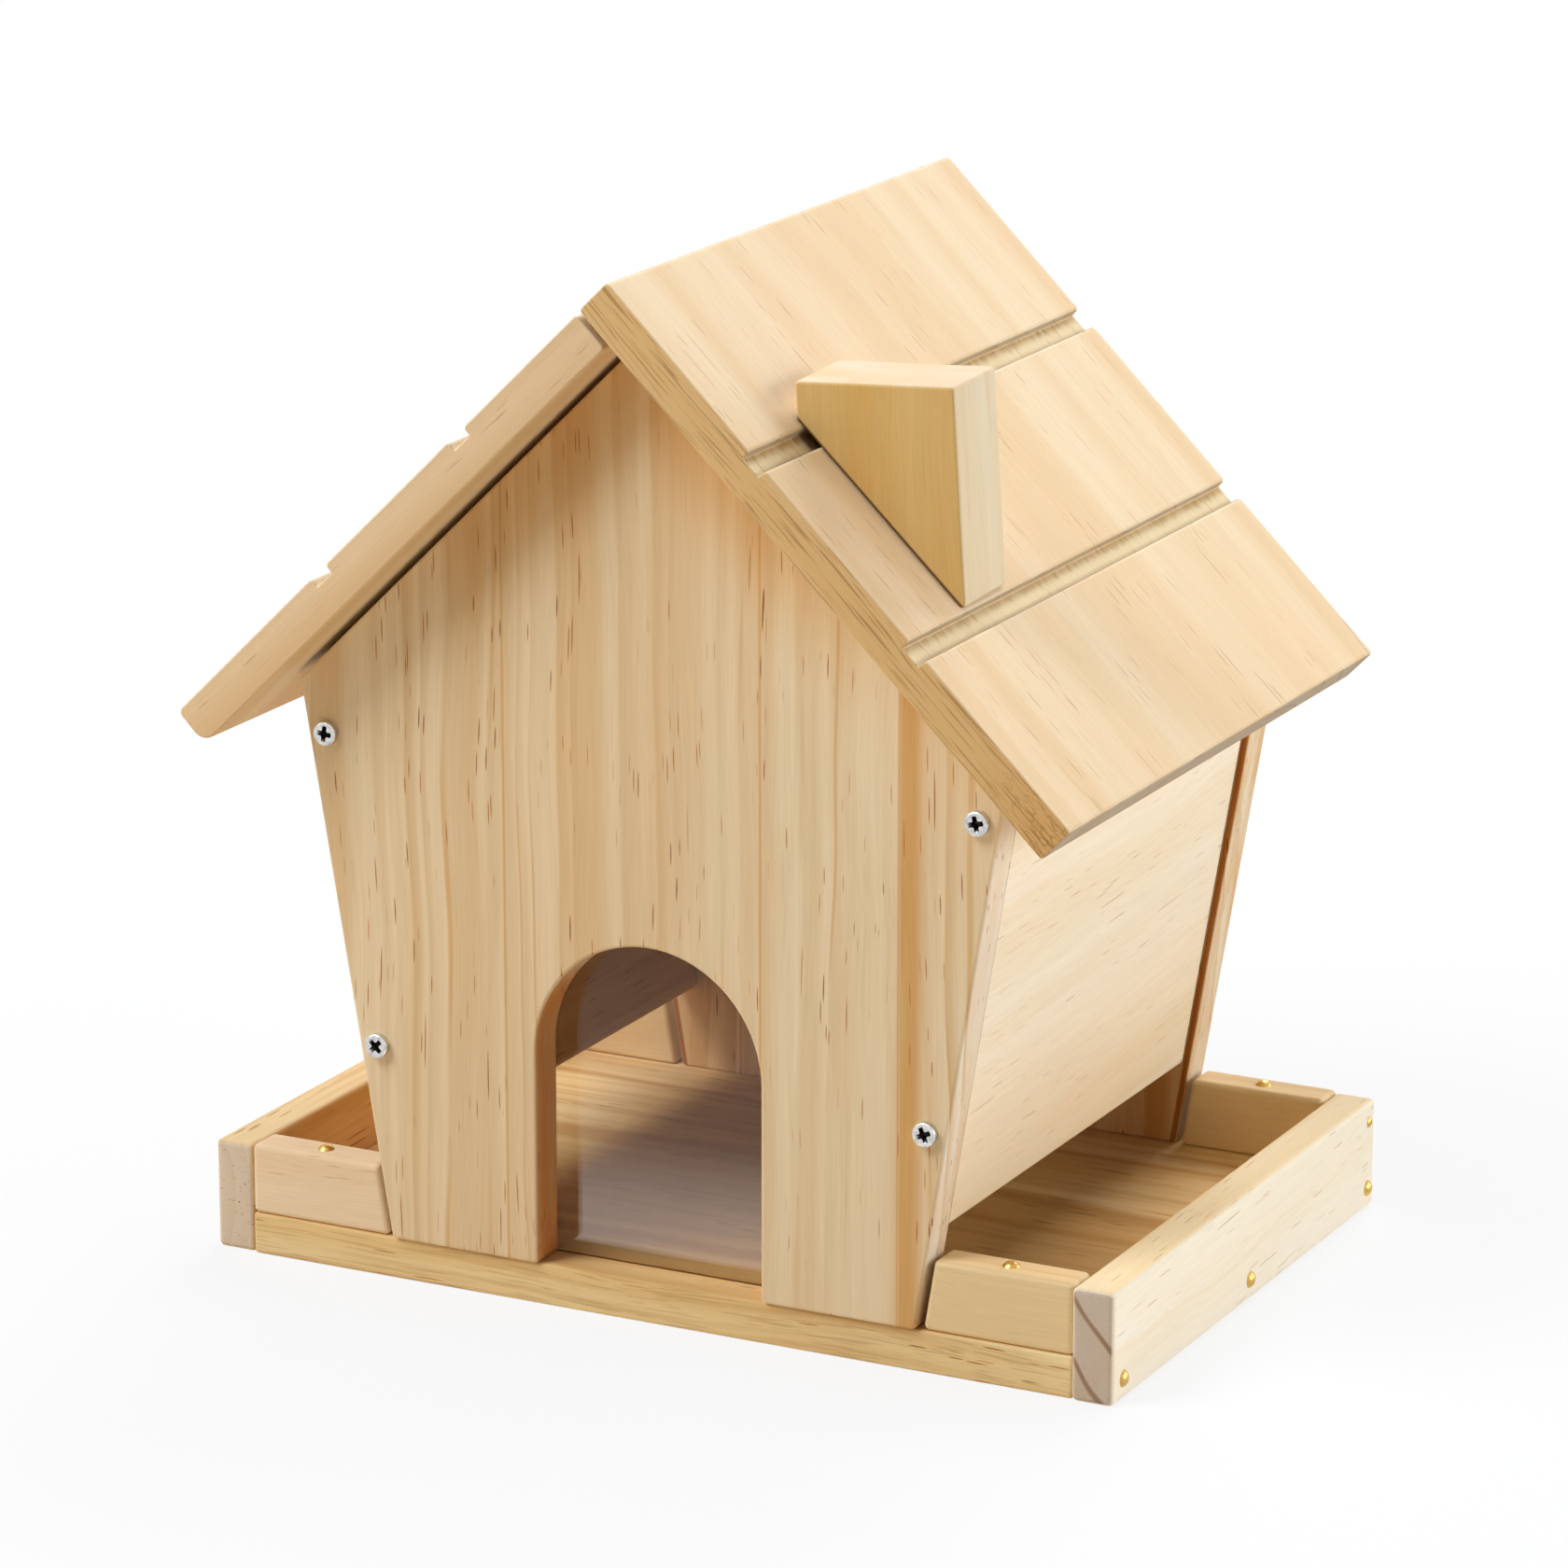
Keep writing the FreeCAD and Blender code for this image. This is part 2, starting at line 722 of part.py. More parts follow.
def fasteners():
    """Nodes of the screws, nails and dowels, each a group of alike pieces."""
    gable_screw = pan_screw(gable_screw_head, gable_screw_head_height, gable_screw_shank, gable_screw_length)
    pane_screw = pan_screw(pane_screw_head, pane_screw_head_height, pane_screw_shank, pane_screw_length)
    base_screw = countersunk_screw(wood_screw_head, wood_screw_shank, base_screw_length)
    chimney_screw = countersunk_screw(wood_screw_head, wood_screw_shank, chimney_screw_length)
    hinge_screw = countersunk_screw(hinge_screw_head, hinge_screw_shank, hinge_screw_length)
    rail_nail = domed_nail(nail_head, nail_head_height, nail_shank, rail_nail_length)
    block_nail = domed_nail(nail_head, nail_head_height, nail_shank, block_nail_length)
    small_nail = domed_nail(small_nail_head, small_nail_head_height, small_nail_shank, small_nail_length)
    gable_turns = (low_left_screw_turn, low_right_screw_turn, high_left_screw_turn, high_right_screw_turn)
    return {
        "front_panel_screws": driven_group(gable_screw, front_gable_screw_seats, gable_turns),
        "back_panel_screws": driven_group(gable_screw, back_gable_screw_seats, gable_turns),
        "window_screws": group(pane_screw, pane_screw_seats),
        "base_screws": group(base_screw, base_screw_seats),
        "chimney_screw": placed(chimney_screw, chimney_screw_seat),
        "hinge_fixed_leaf_screws": group(hinge_screw, hinge_screw_seats(-lid_down)),
        "hinge_lid_leaf_screws": group(hinge_screw, hinge_screw_seats(lid_down)),
        "left_rail_nails": group(rail_nail, rail_nail_seats(-1)),
        "right_rail_nails": group(rail_nail, rail_nail_seats(1)),
        "left_rail_small_nail": placed(small_nail, small_nail_seat(-1)),
        "right_rail_small_nail": placed(small_nail, small_nail_seat(1)),
        "tray_block_nails": group(block_nail, block_nail_seats),
        "roof_dowels": group(roof_dowel(), dowel_seats),
    }


def boards():
    """Nodes of the boards, the chimney and the pane."""
    lid_rest = mirrored(lid_under - lid_out * lid_rest_gap)
    front_block, back_block = block_middles
    return {
        "base_board": base_board(),
        "left_tray_rail": tray_rail(-1, left_rail_back),
        "right_tray_rail": tray_rail(1, -right_rail_forward),
        "front_left_tray_block": tray_block(-1, front_block),
        "front_right_tray_block": tray_block(1, front_block),
        "back_left_tray_block": tray_block(-1, back_block),
        "back_right_tray_block": tray_block(1, back_block),
        "front_panel": front_panel(),
        "back_panel": back_panel(),
        "left_hopper_wall": hopper_wall(-1, lid_rest, mirrored(lid_down)),
        "right_hopper_wall": hopper_wall(1, apex, fixed_down),
        "window_pane": window_pane(),
        "fixed_roof_board": fixed_roof_board(),
        "lid_roof_board": lid_roof_board(),
        "chimney": chimney(),
    }


os.makedirs("parts", exist_ok=True)
for node, shape in {**boards(), **hinges(), **fasteners()}.items():
    shape.exportStep("parts/" + node + ".step")
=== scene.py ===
import json
import math
from collections import namedtuple

import bpy
from mathutils import Matrix, Vector


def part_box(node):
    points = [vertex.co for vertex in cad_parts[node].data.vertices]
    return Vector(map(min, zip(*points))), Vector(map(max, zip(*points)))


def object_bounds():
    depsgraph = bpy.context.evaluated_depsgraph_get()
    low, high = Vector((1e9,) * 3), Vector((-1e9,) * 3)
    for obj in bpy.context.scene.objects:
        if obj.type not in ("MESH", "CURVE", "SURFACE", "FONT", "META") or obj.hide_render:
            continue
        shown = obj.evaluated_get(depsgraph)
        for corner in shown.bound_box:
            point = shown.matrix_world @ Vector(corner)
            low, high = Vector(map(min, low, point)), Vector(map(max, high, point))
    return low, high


# A wooden bird feeder in pale pine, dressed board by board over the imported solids
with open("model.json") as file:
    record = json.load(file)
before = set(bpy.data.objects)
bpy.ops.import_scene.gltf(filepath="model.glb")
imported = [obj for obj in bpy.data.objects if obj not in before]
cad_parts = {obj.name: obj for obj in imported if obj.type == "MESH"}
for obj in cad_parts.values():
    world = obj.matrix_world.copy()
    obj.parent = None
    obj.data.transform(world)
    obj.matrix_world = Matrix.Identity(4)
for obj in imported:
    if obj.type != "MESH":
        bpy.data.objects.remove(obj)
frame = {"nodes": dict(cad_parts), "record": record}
cad_low, cad_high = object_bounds()
nodes = frame["nodes"]
bpy.ops.object.select_all(action="DESELECT")

# Camera at the photograph's viewing angle, in metres and radians
camera_target = Vector((-0.0066, 0.002, 0.1275))
camera_distance = 1.827
camera_azimuth = math.radians(26.94)
camera_elevation = math.radians(15.75)
camera_lens = 151.2

# Floor and soft boxes, in metres, and the colours of the light
floor_size = 8.0
lamp_distance = 2.4
lamp_size = 1.3
daylight = (0.95, 0.99, 1.06)
warm_light = (1.0, 0.96, 0.9)

# Slopes of the boards
roof_slope = math.radians(44.4)
wall_lean = math.radians(9.4)

# Cross grooves of the roof boards, in metres
groove_width = 0.0062
fixed_roof_length = 0.185
lid_length = 0.1728
lid_eave_band = 0.0596
lid_middle_band = 0.0534
lid_groove_shift = 0.0004

# Directions that boards run or face
right = Vector((1, 0, 0))
deep = Vector((0, 1, 0))
upward = Vector((0, 0, 1))
fixed_down = Vector((math.cos(roof_slope), 0, -math.sin(roof_slope)))
fixed_out = Vector((math.sin(roof_slope), 0, math.cos(roof_slope)))
lid_down = Vector((-math.cos(roof_slope), 0, -math.sin(roof_slope)))
lid_out = Vector((-math.sin(roof_slope), 0, math.cos(roof_slope)))
right_wall_out = Vector((math.cos(wall_lean), 0, -math.sin(wall_lean)))
left_wall_out = Vector((-math.cos(wall_lean), 0, -math.sin(wall_lean)))

# Doorway's sides, in metres from the middle, and how squarely a face has to look along an axis
doorway_side = 0.036
doorway_clear = 0.04
turned = 0.6
square_on = 0.9

# How far the rings stray from true circles, and the masks that the wood's figure gives to its colour
ring_wander = 0.012
figure_masks = ("Ring", "Growth", "Streak", "Dash", "Vein", "Fibre", "Cloud", "Curl")


def paint(red, green, blue):
    """Linear colour of a display colour given in steps of 255."""
    def linear(step):
        share = step / 255
        return share / 12.92 if share <= 0.04045 else ((share + 0.055) / 1.055) ** 2.4
    return linear(red), linear(green), linear(blue), 1.0


def add(tree, kind, inputs=None, **settings):
    """Shader node with its settings made and its sockets filled by values or by links."""
    made = tree.nodes.new("ShaderNode" + kind)
    for name, value in settings.items():
        setattr(made, name, value)
    fill(tree, made, inputs or {})
    return made


def fill(tree, node, inputs):
    """Sockets of a node set to values, or linked where the value is a socket."""
    for name, value in inputs.items():
        if isinstance(value, bpy.types.NodeSocket):
            tree.links.new(value, node.inputs[name])
        else:
            node.inputs[name].default_value = value


def calc(tree, operation, first, second=0.0, third=0.0):
    return add(tree, "Math", {0: first, 1: second, 2: third}, operation=operation).outputs[0]


def times(tree, first, *others):
    """Product of values or masks."""
    for other in others:
        first = calc(tree, "MULTIPLY", first, other)
    return first


def size_of(tree, value):
    return calc(tree, "ABSOLUTE", value)


def ramp(tree, value, start, end, low=0.0, high=1.0):
    """Smooth step of a value from low to high."""
    span = {"Value": value, "From Min": start, "From Max": end, "To Min": low, "To Max": high}
    return add(tree, "MapRange", span, interpolation_type="SMOOTHSTEP").outputs[0]


def axis_of(tree, vector, axis):
    """A vector's X, Y or Z."""
    return add(tree, "SeparateXYZ", {0: vector}).outputs[axis]


def looks_along(tree, facing, axis):
    """One on faces that look along an axis of the log, either way."""
    return ramp(tree, size_of(tree, axis_of(tree, facing, axis)), turned, square_on)


def merge(tree, operation, first, second):
    """Sum, difference or product of two vectors."""
    return add(tree, "VectorMath", {0: first, 1: second}, operation=operation).outputs[0]


def stretch(tree, vector, across, along):
    """Place in the log scaled to so many cycles in a metre across and along the grain."""
    return merge(tree, "MULTIPLY", vector, (across, across, along))


def noise(tree, vector, detail=2.0):
    return add(tree, "TexNoise", {"Vector": vector, "Scale": 1.0, "Detail": detail}).outputs["Fac"]


def drift(tree, vector, detail):
    """Random vector about zero."""
    chance = add(tree, "TexNoise", {"Vector": vector, "Scale": 1.0, "Detail": detail}).outputs["Color"]
    return merge(tree, "SUBTRACT", chance, (0.5, 0.5, 0.5))


def blend(tree, share, first, second, way="MIX"):
    sockets = {0: share, 6: first, 7: second}
    return add(tree, "Mix", sockets, data_type="RGBA", blend_type=way).outputs[2]


def between(tree, share, first, second):
    """Value a share of the way from the first to the second."""
    return add(tree, "Mix", {0: share, 2: first, 3: second}, data_type="FLOAT").outputs[0]


def new_group(name, inputs, outputs):
    """Empty node group with sockets, and its input sockets by name."""
    tree = bpy.data.node_groups.new(name, "ShaderNodeTree")
    for socket, kind in inputs.items():
        tree.interface.new_socket(socket, in_out="INPUT", socket_type="NodeSocket" + kind)
    for socket, kind in outputs.items():
        tree.interface.new_socket(socket, in_out="OUTPUT", socket_type="NodeSocket" + kind)
    start = tree.nodes.new("NodeGroupInput")
    return tree, {socket: start.outputs[socket] for socket in inputs}


def close_group(tree, outputs):
    end = tree.nodes.new("NodeGroupOutput")
    for socket, value in outputs.items():
        tree.links.new(value, end.inputs[socket])
    return tree


def new_material(name):
    """Material with its node tree and its Principled shader."""
    made = bpy.data.materials.new(name)
    made.use_nodes = True
    return made, made.node_tree, made.node_tree.nodes["Principled BSDF"]


def resin_dashes(tree, place, width, length, size, share):
    """Thin ellipsoids along the grain, one in a cell, in a share of the cells."""
    cells = add(tree, "TexVoronoi", {"Vector": stretch(tree, place, 1 / width, 1 / length), "Scale": 1.0})
    near = ramp(tree, cells.outputs["Distance"], size * 0.5, size, 1.0, 0.0)
    pick = add(tree, "SeparateColor", {0: cells.outputs["Color"]})
    kept = ramp(tree, pick.outputs[0], 1 - share, 1 - share + 0.02)
    dark = ramp(tree, pick.outputs[1], 0.0, 1.0, 0.25, 1.0)
    return times(tree, near, kept, dark)


# Colours of the fine marks in the wood, and of the painted light and shade in its grooves and joints
year_brown = paint(138, 94, 62)
groove_floor_light = paint(255, 231, 182)
lip_shade = paint(196, 156, 92)
loose_fibre = paint(232, 204, 150)
sawn_brown = paint(150, 100, 48)
chewed_gold = paint(214, 150, 66)
chewed_brown = paint(120, 72, 28)
thin_resin = paint(202, 122, 56)
thick_resin = paint(112, 54, 18)
joint_shadow_brown = paint(92, 54, 26)


def make_pine_figure():
    """Figure of pine in the frame of its log: Z along the grain, X across the board, Y through it."""
    growing = ("Seed", "Ring Width", "Wander", "Softness")
    tree, given = new_group(
        "pine_figure",
        {"Position": "Vector", **dict.fromkeys(growing, "Float")},
        dict.fromkeys(figure_masks, "Float"),
    )

    # Each seed takes another part of the log and leans the grain a little
    chance = add(tree, "TexWhiteNoise", {"W": given["Seed"]}, noise_dimensions="1D").outputs["Color"]
    place = merge(tree, "ADD", given["Position"], merge(tree, "MULTIPLY", chance, (0.06, 0.04, 3.0)))
    lean = add(tree, "SeparateColor", {0: chance}).outputs[1]
    lean = times(tree, calc(tree, "SUBTRACT", lean, 0.5), 0.09)
    slide = times(tree, lean, axis_of(tree, given["Position"], "Z"))
    slide = add(tree, "CombineXYZ", {0: slide}).outputs[0]
    place = merge(tree, "ADD", place, slide)

    # Growth rings: distance from the pith, bent by slow wander and a shorter waver along the log
    bend = drift(tree, stretch(tree, place, across=9.0, along=2.2), detail=1.5)
    bend = add(tree, "VectorMath", {0: bend, "Scale": given["Wander"]}, operation="SCALE").outputs[0]
    waver = drift(tree, stretch(tree, place, across=24.0, along=12.0), detail=1.0)
    waver = merge(tree, "MULTIPLY", waver, (0.006, 0.006, 0.0))
    bent = merge(tree, "ADD", merge(tree, "ADD", place, bend), waver)
    across = merge(tree, "MULTIPLY", bent, (1, 1, 0))
    radius = add(tree, "VectorMath", {0: across}, operation="LENGTH").outputs["Value"]
    turn = calc(tree, "DIVIDE", radius, given["Ring Width"])
    pace = add(tree, "TexNoise", {"W": turn, "Scale": 0.41, "Detail": 1.0}, noise_dimensions="1D")
    turn = calc(tree, "MULTIPLY_ADD", pace.outputs["Fac"], 2.6, turn)
    ripple = noise(tree, stretch(tree, place, across=70.0, along=6.0), detail=0.0)
    turn = calc(tree, "MULTIPLY_ADD", ripple, 0.5, turn)
    season = calc(tree, "FRACT", turn)
    year = add(tree, "TexWhiteNoise", {"W": calc(tree, "FLOOR", turn)}, noise_dimensions="1D")
    crest = calc(tree, "SUBTRACT", 1.0, given["Softness"])
    summer = ramp(tree, season, 0.05, crest)
    autumn = ramp(tree, season, crest, 1.0, 1.0, 0.0)
    ring = times(tree, summer, autumn, ramp(tree, year.outputs["Value"], 0.0, 1.0, 0.25, 1.0))

    # Honey streaks: broad ones, and thin ones along the edge of a year
    gate = noise(tree, stretch(tree, bent, across=90.0, along=7.0), detail=1.0)
    broad = ramp(tree, noise(tree, stretch(tree, bent, across=60.0, along=3.0), detail=1.0), 0.5, 0.72)
    growth = times(tree, ramp(tree, season, 0.78, 0.86), ramp(tree, season, 0.9, 0.97, 1.0, 0.0))
    crisp = ramp(tree, given["Softness"], 0.2, 0.4, 1.0, 0.0)
    thin = times(tree, growth, ramp(tree, gate, 0.46, 0.6), crisp)
    streak = calc(tree, "MAXIMUM", times(tree, broad, 0.6), thin)

    # Uneven veins, fine fibres, soft clouds of colour and the curled fibres of a rough cut
    vein = noise(tree, stretch(tree, bent, across=260.0, along=9.0), detail=3.0)
    fibre = noise(tree, stretch(tree, bent, across=1600.0, along=40.0), detail=3.0)
    cloud = noise(tree, stretch(tree, place, across=22.0, along=5.0), detail=2.0)
    rough = noise(tree, stretch(tree, place, across=520.0, along=150.0), detail=4.0)
    curl = ramp(tree, size_of(tree, calc(tree, "SUBTRACT", rough, 0.5)), 0.0, 0.05, 1.0, 0.0)

    # Resin dashes, long and short, thick in some bands of the board
    crowd = noise(tree, stretch(tree, place, across=55.0, along=9.0), detail=1.0)
    crowd = ramp(tree, crowd, 0.36, 0.6, 0.25, 1.0)
    long_dash = resin_dashes(tree, bent, width=0.0021, length=0.08, size=0.135, share=0.85)
    short_dash = resin_dashes(tree, bent, width=0.0012, length=0.025, size=0.2, share=0.9)
    dash = times(tree, calc(tree, "MAXIMUM", long_dash, short_dash), crowd)
    masks = (ring, growth, streak, dash, vein, fibre, cloud, curl)
    return close_group(tree, dict(zip(figure_masks, masks)))


def make_pine_colour():
    """Colour, gloss and relief of pine from its figure and from the way each face lies to the grain."""
    depths = ("Ring Depth", "Honey Depth", "Dash Depth", "Vein Depth", "Growth Depth", "Edge Saw")
    # Among these places come the masks of painted shade, of painted shadow lines at joints, and of painted
    # light and shade in the grooves
    places = ("Painted Shade", "Inside", "Lip Shade And Fibres", "Chew", "Line", "Band", "Seam")
    colours = ("Pale", "Late", "Honey", "Blush", "Edge", "End", "Shade")
    tree, given = new_group(
        "pine_colour",
        {"Normal": "Vector", **dict.fromkeys(figure_masks + depths + places, "Float"),
         **dict.fromkeys(colours, "Color")},
        {"Color": "Color", "Roughness": "Float", "Height": "Float"},
    )
    edge = looks_along(tree, given["Normal"], "X")
    end = looks_along(tree, given["Normal"], "Z")

    # Early wood, late wood and streaks, then the tint of the edges and the ends
    tone = blend(tree, ramp(tree, given["Cloud"], 0.3, 0.7), given["Pale"], given["Blush"])
    tone = blend(tree, times(tree, given["Ring"], given["Ring Depth"]), tone, given["Late"])
    tone = blend(tree, times(tree, given["Streak"], given["Honey Depth"]), tone, given["Honey"])
    tone = blend(tree, given["Band"], tone, given["Honey"])
    tone = blend(tree, edge, tone, given["Edge"], "MULTIPLY")
    tone = blend(tree, end, tone, given["End"], "MULTIPLY")

    # Year lines on the end grain, painted light on the floor of a groove, veins and fibres
    year_line = times(tree, end, given["Growth"], given["Growth Depth"])
    tone = blend(tree, year_line, tone, year_brown)
    tone = blend(tree, times(tree, given["Inside"], 0.8), tone, groove_floor_light)
    vein = times(tree, ramp(tree, given["Vein"], 0.38, 0.72), given["Vein Depth"])
    vein = times(tree, vein, calc(tree, "SUBTRACT", 1.0, end))
    tone = blend(tree, vein, tone, given["Late"])
    grey = ramp(tree, given["Fibre"], 0.25, 0.75, 0.965, 1.03)
    grey = add(tree, "CombineColor", {0: grey, 1: grey, 2: grey}).outputs[0]
    tone = blend(tree, 1.0, tone, grey, "MULTIPLY")
    tone = blend(tree, times(tree, given["Line"], 0.75), tone, given["Honey"])

    # Sawn edges and ragged groove lips: painted brown shade with ragged fibres under the lips, pale loose
    # fibres and dark gaps between them
    tone = blend(tree, times(tree, given["Lip Shade And Fibres"], 0.9), tone, lip_shade)
    shade_and_fibres = times(tree, given["Lip Shade And Fibres"], ramp(tree, given["Vein"], 0.42, 0.6, 0.2, 1.0))
    saw = calc(tree, "MAXIMUM", times(tree, edge, given["Edge Saw"]), shade_and_fibres)
    loose = times(tree, saw, ramp(tree, given["Fibre"], 0.36, 0.46, 0.6, 0.0))
    tone = blend(tree, loose, tone, loose_fibre)
    tone = blend(tree, times(tree, saw, ramp(tree, given["Fibre"], 0.52, 0.64)), tone, sawn_brown)
    chew = times(tree, edge, given["Chew"])
    tone = blend(tree, times(tree, chew, 0.3), tone, chewed_gold)
    tone = blend(tree, times(tree, chew, given["Curl"], 0.4), tone, chewed_brown)

    # Resin, painted warm shade and the painted shadow line of a joint lie over everything else
    mark = times(tree, ramp(tree, given["Dash"], 0.04, 0.45), given["Dash Depth"])
    resin = blend(tree, ramp(tree, given["Dash"], 0.3, 1.0), thin_resin, thick_resin)
    tone = blend(tree, mark, tone, resin)
    tone = blend(tree, given["Painted Shade"], tone, given["Shade"], "MULTIPLY")
    tone = blend(tree, given["Seam"], tone, joint_shadow_brown)

    rough = calc(tree, "MULTIPLY_ADD", given["Fibre"], 0.16, 0.46)
    rough = calc(tree, "MULTIPLY_ADD", end, 0.15, rough)
    relief = calc(tree, "MULTIPLY_ADD", given["Fibre"], 0.5, times(tree, given["Ring"], 0.3))
    return close_group(tree, {"Color": tone, "Roughness": rough, "Height": relief})


def make_glued_staves():
    """Seed that changes from stave to stave across a glued panel, the line of each joint and a honey band."""
    stave_joints = ("Joint 1", "Joint 2", "Joint 3")
    tree, given = new_group(
        "glued_staves",
        {"Position": "Vector", "Seed": "Float", **dict.fromkeys(stave_joints, "Float")},
        {"Seed": "Float", "Line": "Float", "Band": "Float"},
    )
    glue_core = 0.0001
    glue_reach = 0.0006
    band_start = 0.0008
    band_fade = 0.004
    band_end = 0.009
    across = axis_of(tree, given["Position"], "X")
    seed = given["Seed"]
    line = 0.0
    for joint in stave_joints:
        past = calc(tree, "SUBTRACT", across, given[joint])
        seed = calc(tree, "ADD", seed, calc(tree, "GREATER_THAN", past, 0.0))
        glue = ramp(tree, size_of(tree, past), glue_core, glue_reach, 1.0, 0.0)
        line = calc(tree, "MAXIMUM", line, glue)
    band = times(tree, ramp(tree, past, 0.0, band_start), ramp(tree, past, band_fade, band_end, 1.0, 0.0))
    return close_group(tree, {"Seed": seed, "Line": line, "Band": band})


def make_torn_grooves():
    """Masks of two cross grooves of a roof board: their floors, which take painted light, and the painted
    shade and ragged fibres under each upper lip.
    """
    grooves = ("Groove 1", "Groove 2")
    tree, given = new_group(
        "torn_and_shaded_grooves",
        {"Position": "Vector", "Normal": "Vector", **dict.fromkeys(grooves, "Float")},
        {"Inside": "Float", "Lip Shade And Fibres": "Float"},
    )
    half = groove_width / 2
    upper_lip = -half
    floor_inset = 0.0006
    floor_blur = 0.0001
    shade_start = 0.001
    shade_end = 0.0035
    fibre_start = 0.0006
    fibre_length = 0.0022
    down = axis_of(tree, given["Position"], "Z")
    outside = ramp(tree, axis_of(tree, given["Normal"], "Y"), -0.4, -0.1)
    front = size_of(tree, axis_of(tree, given["Normal"], "X"))
    outside = times(tree, outside, ramp(tree, front, 0.3, 0.6, 1.0, 0.0))
    hanging = noise(tree, stretch(tree, given["Position"], across=330.0, along=25.0), detail=3.0)
    ragged = ramp(tree, hanging, 0.3, 0.7, -fibre_length, fibre_length)
    inside = 0.0
    shade_and_fibres = 0.0
    for groove in grooves:
        past = calc(tree, "SUBTRACT", down, given[groove])
        near = ramp(tree, size_of(tree, past), half - floor_inset, half + floor_blur, 1.0, 0.0)
        shaded = ramp(tree, past, upper_lip + shade_start, upper_lip + shade_end, 0.7, 0.0)
        below = calc(tree, "SUBTRACT", past, ragged)
        fibres = ramp(tree, below, upper_lip + fibre_start, upper_lip + fibre_length, 0.3, 0.0)
        inside = calc(tree, "MAXIMUM", inside, near)
        # Painted shade under the upper lip, with ragged fibres hanging into it
        shade_and_fibres = calc(tree, "MAXIMUM", shade_and_fibres, times(tree, near, calc(tree, "ADD", shaded, fibres)))
    inside = times(tree, inside, outside)
    shade_and_fibres = times(tree, shade_and_fibres, outside)
    return close_group(tree, {"Inside": inside, "Lip Shade And Fibres": shade_and_fibres})


pine_figure = make_pine_figure()
pine_colour = make_pine_colour()
glued_staves = make_glued_staves()
torn_and_shaded_grooves = make_torn_grooves()


def wood(pale, late, honey, blush):
    """Tones of a board as seen in even light: early wood, late wood, streaks and a warm cloud."""
    return {"Pale": paint(*pale), "Late": paint(*late), "Honey": paint(*honey), "Blush": paint(*blush)}


wheat = wood((246, 224, 183), (232, 200, 150), (225, 180, 116), (244, 217, 176))
striped = wood((249, 229, 191), (230, 196, 146), (224, 172, 104), (246, 220, 179))
honeyed = wood((245, 209, 151), (224, 174, 111), (222, 163, 90), (243, 202, 145))
tawny = wood((252, 222, 164), (214, 164, 98), (222, 168, 92), (250, 216, 156))
straw = wood((252, 228, 178), (241, 209, 155), (233, 192, 126), (250, 221, 170))
cream = wood((245, 220, 180), (236, 202, 154), (230, 187, 125), (244, 214, 173))
ivory = wood((249, 238, 215), (242, 225, 190), (237, 209, 160), (249, 234, 209))
bone = wood((255, 248, 231), (250, 238, 209), (244, 220, 176), (254, 245, 225))
biscuit = wood((254, 232, 198), (246, 216, 172), (238, 198, 140), (252, 227, 191))
amber = wood((236, 198, 126), (224, 176, 96), (232, 178, 84), (236, 202, 136))
plain = (1.0, 1.0, 1.0, 1.0)
grey_end = (0.84, 0.83, 0.88, 1.0)

# A dressed board: its node tree, places and normals on the board and in its log, figure and colour
Board = namedtuple("Board", "node grain tree spot place facing figure colour")


def dress(node, material):
    """Puts one material on a piece's every slot."""
    slots = nodes[node].data.materials
    if not slots:
        slots.append(material)
    for index in range(len(slots)):
        slots[index] = material


def log_frame(grain, face):
    """Turn of a log whose Z runs along the grain and whose Y points out of the board's face."""
    across = face.cross(grain)
    return Matrix((across, face, grain)).transposed()


def pine(node, grain, face, pith, seed, tones=wheat, ring_width=0.008, soft=0.16, rings=0.9, streaks=0.5,
         veins=0.6, dashes=0.9, edge=plain, saw=0.0, end=grey_end, growth=0.0):
    """Pine on one board, cut from a log whose pith lies at the given offset across and behind the board."""
    made, tree, shader = new_material("pine_" + node)
    low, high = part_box(node)
    turn = log_frame(grain, face)
    log = {"Location": (low + high) / 2 + turn @ Vector((pith[0], pith[1], 0)), "Rotation": turn.to_euler()}
    spot = add(tree, "TexCoord")
    place = add(tree, "Mapping", {"Vector": spot.outputs["Object"], **log}, vector_type="TEXTURE").outputs[0]
    facing = {"Vector": spot.outputs["Normal"], "Rotation": log["Rotation"]}
    facing = add(tree, "Mapping", facing, vector_type="TEXTURE").outputs[0]
    figure = add(tree, "Group", {
        "Position": place, "Seed": seed, "Ring Width": ring_width, "Wander": ring_wander, "Softness": soft,
    }, node_tree=pine_figure)
    colour = add(tree, "Group", {
        "Normal": facing, **tones, "Edge": edge, "End": end, "Shade": plain, "Edge Saw": saw,
        "Ring Depth": rings, "Honey Depth": streaks, "Vein Depth": veins, "Dash Depth": dashes,
        "Growth Depth": growth, **{mask: figure.outputs[mask] for mask in figure_masks},
    }, node_tree=pine_colour)
    bump = add(tree, "Bump", {"Strength": 0.3, "Distance": 0.0001, "Height": colour.outputs["Height"]})
    fill(tree, shader, {
        "Base Color": colour.outputs["Color"],
        "Roughness": colour.outputs["Roughness"],
        "Normal": bump.outputs[0],
        "Specular IOR Level": 0.12,
    })
    dress(node, made)
    return Board(node, grain, tree, spot.outputs["Object"], place, facing, figure, colour)


def shade(board, mask, tint):
    """Painted shade: a tint laid over part of a board."""
    fill(board.tree, board.colour, {"Painted Shade": mask, "Shade": tint})


def paint_joint_shadow(board, mask):
    """Painted shadow line where the board meets another."""
    fill(board.tree, board.colour, {"Seam": mask})


